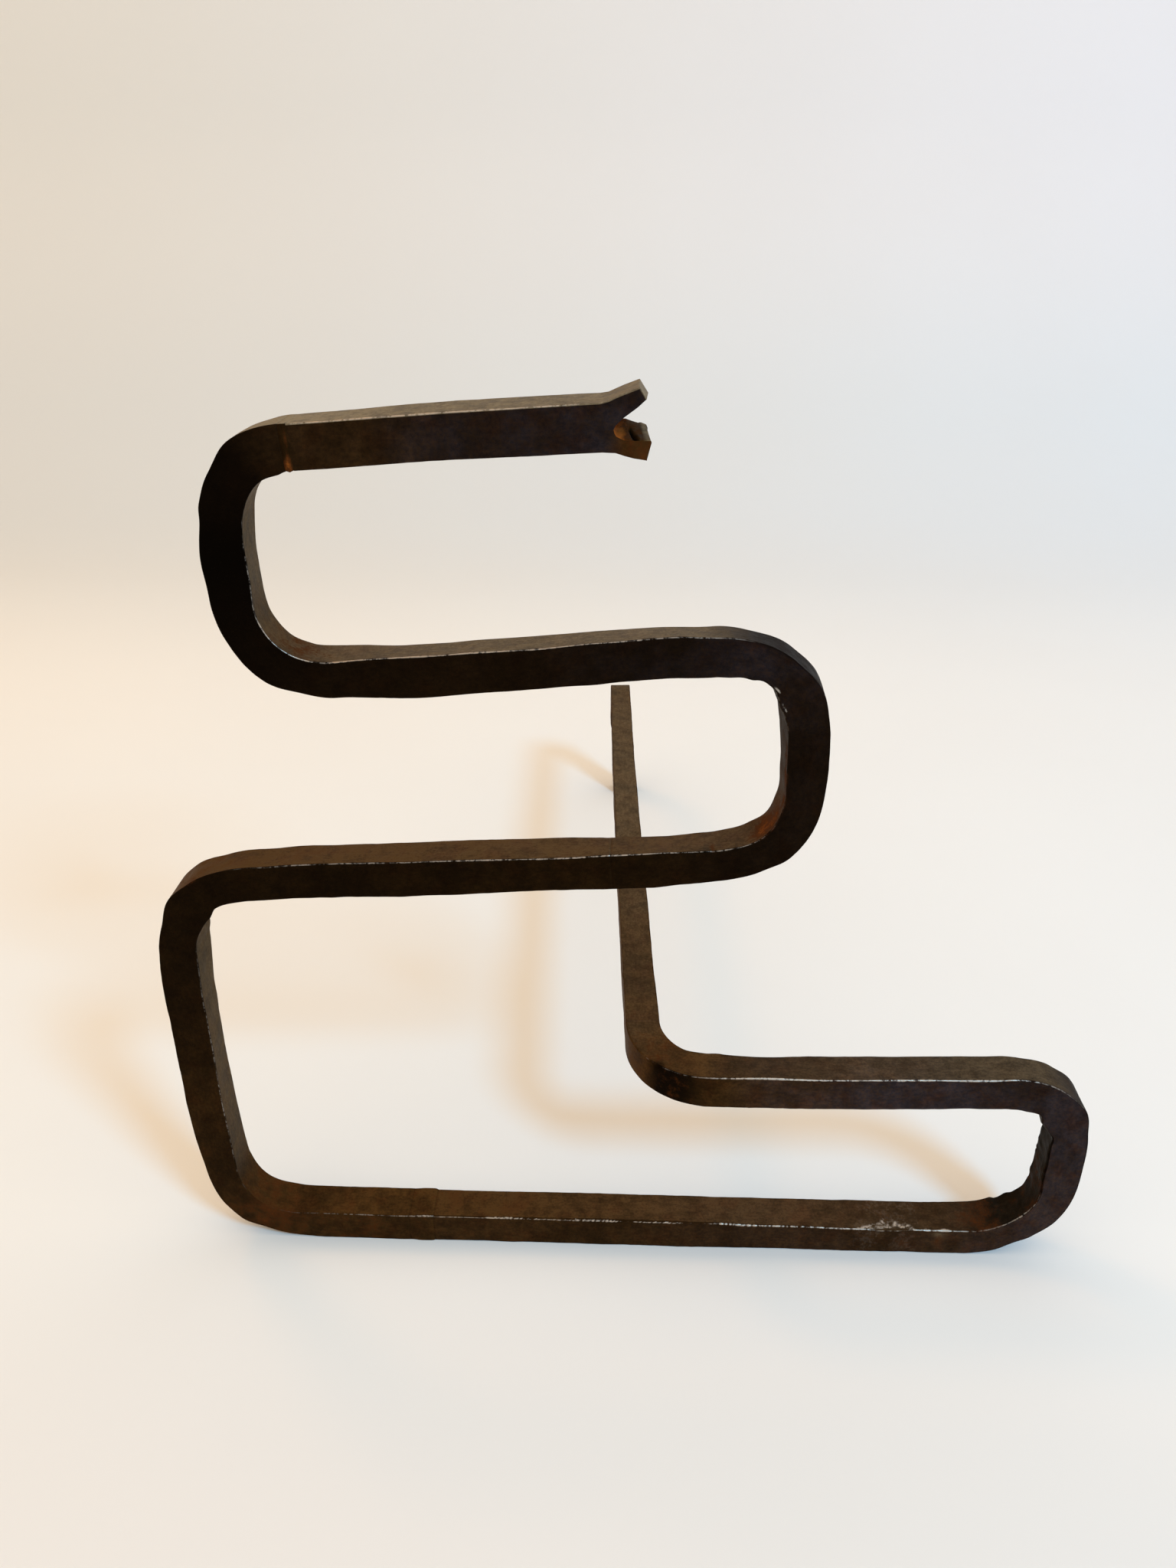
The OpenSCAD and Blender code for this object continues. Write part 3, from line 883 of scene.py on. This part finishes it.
def jaw(lines, lower):
    """One half of the head bar, swept from the head weld to the slanted tip of its jaw."""
    parts = [k + np.arange(steps) / steps for k, steps in enumerate(HEAD_STEPS)]
    place = np.append(np.concatenate(parts), len(HEAD_STEPS))
    shut = (place < SPLIT)[:, None]
    corner, u, v, edge, side, cut, arcs = jaw_ring(lines, place, lower)
    s, rise, low, high = jaw_lengths(corner, u, v)
    if lower:
        s = s + 1.3 * np.exp(-(((rise - 0.85) / 0.22) ** 2)) * np.clip(place - 5, 0, 1)[:, None] ** 2
    seam = shut & (arcs[0] | arcs[1])
    outer, outer_wear = (LOW, 0.1) if lower else (HIGH, 0.85)
    edge = np.where(seam, 0.0, np.broadcast_to(edge, u.shape)) * np.where(side == outer, outer_wear, 0.3)
    edge = edge * (1 - 0.6 * np.clip((s - 98) / 8, 0, 1))
    tone = np.where(side == FRONT, 0.27, 0.4)[None, :] + 0 * s
    cool = np.clip((s - 25) / 40, 0.1, 1)
    rust, ash_and_painted_sheen = np.zeros(u.shape), np.zeros(u.shape)
    if lower:
        cool = cool * (1 - np.clip((s - 110) / 8, 0, 1))
        live = (cut | arcs[0] | arcs[1]) & ~shut
        v, edge, rust, ash_and_painted_sheen, tone = cut_face(s, u, v, edge, live, side, tone)
    else:
        # The top of the head is painted pale: ash, and painted sheen where it is seen at a grazing angle,
        # paler towards the weld
        ash_and_painted_sheen[:, side == HIGH] = 1.06 - 0.32 * np.clip((s[:, side == HIGH] - 10) / 30, 0, 1)
        ash_and_painted_sheen[-1], edge[-1] = 0.85, 0.0
    tone = np.where(shut & arcs[0], 0.27, tone)
    looks = {"edge": edge, "rust": rust, "ash_and_painted_sheen": ash_and_painted_sheen, "tone": tone, "cool": cool}
    tall = np.where(seam, 0, (v - (low + high) / 2) / np.maximum(high - low, 1) * 2)
    points = jaw_skin(s, u, v, tall, side == outer, shut & cut, 705 if lower else 706)
    index = np.arange(u.size).reshape(u.shape)
    quads = tube(index)[~(shut[:-1] & (cut | np.roll(cut, -1)))]
    faces = quads.tolist() + [index[-1][::-1].tolist()]
    return points, faces, {key: value.ravel() for key, value in looks.items()}, flow(s, u, v).reshape(-1, 3)


def blend(front, back, across):
    return front[:, None] * (1 - across) + back[:, None] * across


def cut_face(s, u, v, edge, live, side, tone):
    """The hot-cut upper side of the lower jaw: rusty, notched, with painted shade in the notch and a raised
    flat at its end painted pale, partly its polish and partly a painted highlight.
    """
    strip = np.clip((s - (123.9 + (3.9 - u) * 0.1)) / 0.6, 0, 1) * live
    notch = np.clip(1.6 - 1.6 * np.abs(s - 120.2 + 0.26 * u) / (0.6 - 0.1 * np.minimum(u, 0)), 0, 1)
    notch = notch * live * np.clip(1 - u, 0, 1) * np.clip(u + 9, 0, 1)
    v = v + 0.5 * strip * np.clip((126.8 - s) / 3, 0, 1) - 1.5 * notch
    # The notch takes neither rust nor tone, so it is soot-black: painted shade in its cavity
    rust = live * (1.25 - 0.75 * np.clip((s - 116.8) / 4, 0, 1)) * (1 - strip) * (1 - notch)
    rust = np.maximum(rust, 0.62 * np.clip((s - 111) / 9, 0, 1) * (side == FRONT))
    tone = np.where(live, 0.5 * (1 - notch), tone + 0.15 * np.clip((s - 112) / 8, 0, 1) * (side == FRONT))
    edge = np.where(live, 0.25 * edge * (1 - strip), edge)
    # The flat at the end comes back as pale ash: partly its polish and partly a painted highlight
    return v, edge, rust, 0.42 * strip, tone


def joined(name, parts):
    points, faces, looks, flows, offset = [], [], {}, [], 0
    for part_points, part_faces, part_looks, part_flow in parts:
        points.append(part_points)
        flows.append(part_flow)
        faces += [[i + offset for i in face] for face in part_faces]
        for key, values in part_looks.items():
            looks.setdefault(key, []).append(values)
        offset += len(part_points)
    looks = {key: np.concatenate(values) for key, values in looks.items()}
    return make_mesh(name, np.concatenate(points), faces, looks, np.concatenate(flows))


def head_bar():
    piece = joined("forged_head_bar", [jaw(UPPER_JAW, False), jaw(LOWER_JAW, True)])
    mesh = bmesh.new()
    mesh.from_mesh(piece.data)
    bmesh.ops.remove_doubles(mesh, verts=mesh.verts, dist=0.002 * MM)
    mesh.to_mesh(piece.data)
    mesh.free()
    return piece


# ---- Materials ----


class Graph:
    """Short calls that add nodes to a material."""

    def __init__(self, name):
        self.material = bpy.data.materials.new(name)
        self.material.use_nodes = True
        self.tree = self.material.node_tree
        self.tree.nodes.clear()

    def node(self, kind, inputs=(), **settings):
        """A node with its settings and inputs; an input is a value or the output that feeds it."""
        n = self.tree.nodes.new("ShaderNode" + kind)
        for key, value in settings.items():
            setattr(n, key, value)
        for key, value in dict(inputs).items():
            if hasattr(value, "is_output"):
                self.tree.links.new(value, n.inputs[key])
            else:
                n.inputs[key].default_value = value
        return n

    def noise(self, coords, size_mm, detail=4.0, rough=0.55, stretch=(1, 1, 1)):
        place = self.node("Mapping", {"Vector": coords, "Scale": stretch}).outputs[0]
        inputs = {"Vector": place, "Scale": 1 / (size_mm * MM), "Detail": detail, "Roughness": rough}
        return self.node("TexNoise", inputs).outputs["Fac"]

    def math(self, kind, a, b=0.0, clamp=False):
        return self.node("Math", {0: a, 1: b}, operation=kind, use_clamp=clamp).outputs[0]

    def step(self, value, low, high, to_low=0.0, to_high=1.0):
        inputs = {"Value": value, "From Min": low, "From Max": high, "To Min": to_low, "To Max": to_high}
        return self.node("MapRange", inputs, interpolation_type="SMOOTHSTEP").outputs[0]

    def mix(self, share, a, b):
        a, b = [c + (1.0,) if isinstance(c, tuple) else c for c in (a, b)]
        return self.node("Mix", {0: share, 6: a, 7: b}, data_type="RGBA").outputs[2]

    def attribute(self, name):
        return self.node("Attribute", attribute_name=name).outputs["Fac"]

    def show(self, inputs):
        """The material's shader, with the given inputs."""
        shader = self.node("BsdfPrincipled", inputs)
        self.node("OutputMaterial", {0: shader.outputs[0]})
        return self.material


SOOT = (0.0016, 0.0011, 0.0007)
BROWN = (0.068, 0.032, 0.0085)
PURPLE = (0.05, 0.039, 0.044)
RUST_DEEP = (0.06, 0.019, 0.005)
RUST_BRIGHT = (0.26, 0.075, 0.012)
# Pale colour of ash and dust, also used as painted sheen on tops and sides seen at a grazing angle
ASH_AND_PAINTED_SHEEN = (0.215, 0.164, 0.096)
# Colour of edges rubbed bright, also used for a few painted highlight lines
WORN_AND_HIGHLIGHT = (0.4, 0.36, 0.31)
SPECULAR_TINT = (1.0, 0.6, 0.3, 1.0)
SPECULAR_LEVEL = 0.01


def mottled(g, value, spans, clamp=False):
    """A value varied by noises: a span is (noise, low, high, factor up to low, factor from high)."""
    for k, (noise, *span) in enumerate(spans):
        value = g.math("MULTIPLY", value, g.step(noise, *span), clamp=clamp and k == len(spans) - 1)
    return value


def scale_colour(g, coords, broad, cloud, streak, grain):
    """Forge scale: soot to brown by the tone, purple where the tint is cool, and reddish in patches."""
    spans = [
        (broad, 0.35, 0.65, 0.8, 1.2), (cloud, 0.32, 0.68, 0.82, 1.2),
        (streak, 0.35, 0.65, 0.88, 1.12), (grain, 0.35, 0.7, 1.2, 0.7),
    ]
    tone = mottled(g, g.attribute("tone"), spans)
    spans = [(broad, 0.3, 0.55, 0.55, 1.0), (grain, 0.36, 0.6, 0.6, 1.15)]
    brown = g.mix(mottled(g, g.attribute("cool"), spans, clamp=True), BROWN, PURPLE)
    reddish = g.step(g.noise(coords, 10, 4, 0.6), 0.45, 0.68, 0, 0.42)
    return g.mix(tone, SOOT, g.mix(reddish, brown, RUST_DEEP))


def dusted_with_painted_sheen(g, colour, cloud, streak, grain):
    """The colour under a film of ash, which also stands for painted sheen on sides seen at a grazing angle.
    """
    spans = [
        (cloud, 0.3, 0.62, 0.65, 1.15), (streak, 0.36, 0.62, 0.82, 1.12), (grain, 0.34, 0.66, 1.15, 0.7),
    ]
    return g.mix(mottled(g, g.attribute("ash_and_painted_sheen"), spans, clamp=True), colour, ASH_AND_PAINTED_SHEEN)


def rusted(g, colour, cloud, grain, more):
    """The colour with rust on it, and where the rust is."""
    amount = g.math("ADD", g.attribute("rust"), more)
    for noise, weight in ((cloud, 1.3), (grain, 0.9)):
        amount = g.math("ADD", amount, g.math("MULTIPLY", g.math("SUBTRACT", noise, 0.5), weight))
    rust = g.step(amount, 0.3, 0.85)
    rust_colour = g.mix(g.step(amount, 0.75, 1.35), RUST_DEEP, RUST_BRIGHT)
    return g.mix(g.math("MULTIPLY", rust, 0.85), colour, rust_colour), rust


def rubbed_with_painted_highlights(g, colour, coords, rust, wear):
    """The colour with its edges rubbed bright and a few painted highlight lines, and where they are."""
    worn_and_highlight = mottled(g, g.attribute("edge"), [(g.noise(coords, 6, 4, 0.6), 0.25, 0.6, 0.45, 1.1)])
    worn_and_highlight = mottled(g, worn_and_highlight, [(g.noise(coords, 1.6, 4, 0.65), 0.36, 0.56, 0.5, 1.15)])
    worn_and_highlight = g.step(worn_and_highlight, 0.22, 0.85, 0, wear)
    worn_and_highlight = g.math("MULTIPLY", worn_and_highlight, g.math("SUBTRACT", 1.0, g.math("MULTIPLY", rust, 0.9)))
    return g.mix(worn_and_highlight, colour, WORN_AND_HIGHLIGHT), worn_and_highlight


def relief(g, grain, fine, streak, rust):
    """Bump of the skin from its grain and its streaks, rougher where it is rusty."""
    height = g.math("ADD", g.math("MULTIPLY", grain, 0.7), g.math("MULTIPLY", fine, 0.3))
    height = g.math("ADD", height, g.math("MULTIPLY", g.math("MULTIPLY", rust, fine), 0.8))
    height = g.math("ADD", height, g.math("MULTIPLY", streak, 0.3))
    return g.node("Bump", {"Strength": 0.6, "Distance": 0.25 * MM, "Height": height}).outputs[0]


def iron(name, wear=1.0, rust_more=0.0, roughness=0.44):
    """Forged iron that reads its tone, its ash with painted sheen, rust, worn edges with a few painted
    highlights and cool tint from the mesh.
    """
    g = Graph(name)
    coords = g.node("TexCoord").outputs["Object"]
    broad = g.noise(coords, 24, 3)
    cloud = g.noise(coords, 6, 5, 0.6)
    grain = g.noise(coords, 1.2, 6, 0.68)
    fine = g.noise(coords, 0.4, 3, 0.6)
    skin = g.node("Attribute", attribute_name="flow").outputs["Vector"]
    streak = g.noise(skin, 1.6, 5, 0.65, (0.3, 1, 1))
    colour = dusted_with_painted_sheen(g, scale_colour(g, coords, broad, cloud, streak, grain), cloud, streak, grain)
    colour, rust = rusted(g, colour, cloud, grain, rust_more)
    colour, worn_and_highlight = rubbed_with_painted_highlights(g, colour, coords, rust, wear)
    rough = g.step(cloud, 0.3, 0.7, roughness - 0.06, roughness + 0.08)
    rough = g.math("ADD", rough, g.math("MULTIPLY", rust, 0.28))
    rough = g.math("SUBTRACT", rough, g.math("MULTIPLY", worn_and_highlight, 0.12), clamp=True)
    return g.show({
        "Base Color": colour,
        "Roughness": rough,
        "Metallic": worn_and_highlight,
        "Normal": relief(g, grain, fine, streak, rust),
        "Specular IOR Level": SPECULAR_LEVEL,
        "Specular Tint": SPECULAR_TINT,
    })


black_iron = iron("black_iron")
brown_iron = iron("brown_iron", rust_more=0.05)
dry_iron = iron("dry_iron", wear=0.8, roughness=0.48)
weld_iron = iron("weld_iron", wear=0.9, rust_more=0.02, roughness=0.46)


# ---- Stage, camera and light ----


# Colours of the paper sheet at its left and right, in bands from the front to the wall; they hold painted
# light: warm at the left, cool at the right, darker in the sweep and lighter on the floor
PAPER_WITH_PAINTED_LIGHT = {
    "front": ((0.85, 0.8, 0.72), (0.79, 0.81, 0.81)),
    "floor": ((0.88, 0.85, 0.77), (0.81, 0.85, 0.87)),
    "bend": ((0.68, 0.7, 0.68), (0.73, 0.8, 0.86)),
    "wall": ((0.77, 0.76, 0.71), (0.85, 0.86, 0.9)),
}


def backdrop():
    """Sheet of paper that runs from the floor up the wall in a sweep."""
    floor_back, sweep_r, wall_top, front, half_width = 1.05, 0.55, 2.6, -2.2, 3.2
    profile = [(front, 0.0), (floor_back, 0.0)]
    steps = 24
    for k in range(1, steps + 1):
        a = math.pi / 2 * k / steps
        profile.append((floor_back + sweep_r * math.sin(a), sweep_r * (1 - math.cos(a))))
    profile.append((floor_back + sweep_r, wall_top))
    points = [(x, y, z) for y, z in profile for x in (-half_width, half_width)]
    faces = [(2 * i, 2 * i + 1, 2 * i + 3, 2 * i + 2) for i in range(len(profile) - 1)]
    mesh = bpy.data.meshes.new("backdrop")
    mesh.from_pydata(points, [], faces)
    mesh.polygons.foreach_set("use_smooth", [True] * len(faces))
    mesh.materials.append(paper())
    sheet = placed("backdrop", mesh)


def paper():
    g = Graph("paper")
    coords = g.node("TexCoord").outputs["Object"]
    split = g.node("SeparateXYZ", {0: coords}).outputs
    across = g.step(split["X"], -1.1, 1.1)
    depth = g.math("ADD", split["Y"], split["Z"])
    # The colour over the sheet is painted light: it shifts from warm at the left to cool at the right, and
    # from band to band, as lamps would light it
    colour = g.mix(across, *PAPER_WITH_PAINTED_LIGHT["front"])
    for band, start, stop in (("floor", -0.16, 0.02), ("bend", 0.6, 1.3), ("wall", 1.5, 2.2)):
        colour = g.mix(g.step(depth, start, stop), colour, g.mix(across, *PAPER_WITH_PAINTED_LIGHT[band]))
    cloud = g.step(g.noise(coords, 260, 3), 0.3, 0.7, 0.0, 0.06)
    colour = g.mix(cloud, colour, (0.7, 0.68, 0.65))
    return g.show({"Base Color": colour, "Roughness": 0.9, "Specular IOR Level": 0.1})


def area_light(name, place, target, size, watts, colour):
    lamp = bpy.data.lights.new(name, "AREA")
    lamp.shape = "DISK"
    lamp.size = size
    lamp.energy = watts
    lamp.color = colour
    obj = placed(name, lamp)
    obj.location = place
    obj.rotation_euler = (Vector(target) - obj.location).to_track_quat("-Z", "Y").to_euler()


# Lamps: name, place, what it is aimed at, width, watts, colour
LAMPS = [
    ("key", (1.55, -1.8, 2.35), (0.0, 0.1, 0.1), 0.65, 57.5, (0.21, 0.62, 1.03)),
    ("warm", (-1.45, 1.3, 2.4), (0.0, 0.1, 0.1), 0.7, 7.7, (1.0, 0.46, 0.12)),
    ("overhead", (0.0, 0.3, 2.4), (0.0, 0.3, 0.0), 2.4, 5.3, (1.0, 0.87, 0.69)),
]
ROOM_LIGHT = ((1.0, 0.79, 0.59), 0.915)


def studio():
    for lamp in LAMPS:
        area_light(*lamp)
    world = bpy.data.worlds.new("room")
    world.use_nodes = True
    background = world.node_tree.nodes["Background"]
    background.inputs["Color"].default_value = ROOM_LIGHT[0] + (1.0,)
    background.inputs["Strength"].default_value = ROOM_LIGHT[1]
    bpy.context.scene.world = world


def camera():
    """The camera fitted to the photograph, with its focal length in pixels of the frame."""
    focal_px, image_h, sensor = 1560.0, 2048.0, 36.0
    data = bpy.data.cameras.new("camera")
    data.sensor_fit = "VERTICAL"
    data.sensor_height = sensor
    data.lens = sensor * focal_px / image_h
    obj = placed("camera", data)
    obj.location = (-0.00705, -0.42413, 0.47157)
    obj.rotation_euler = (math.radians(90 - 27.556), 0.0, math.radians(1.884))
    bpy.context.scene.camera = obj


# ---- Assembly ----

PIECES = [
    (lower_coil, "lower_coil", black_iron, "brown_iron"),
    (upper_coil, "upper_coil", black_iron, "black_iron"),
    (tail_coil, "tail_coil", brown_iron, "brown_iron"),
    (log_bar_leg, "log_bar_leg", dry_iron, "dry_iron"),
    (base_weld, "base_weld", weld_iron, "weld_iron"),
    (head_weld, "head_weld", weld_iron, "weld_iron"),
    (head_bar, "head_bar", black_iron, "black_iron"),
]
for build, node, material, slot in PIECES:
    piece = build()
    piece.data.materials.append(material)
    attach(piece, "root")
    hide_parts(node)

backdrop()
studio()
camera()
bpy.context.scene.view_settings.view_transform = "Standard"
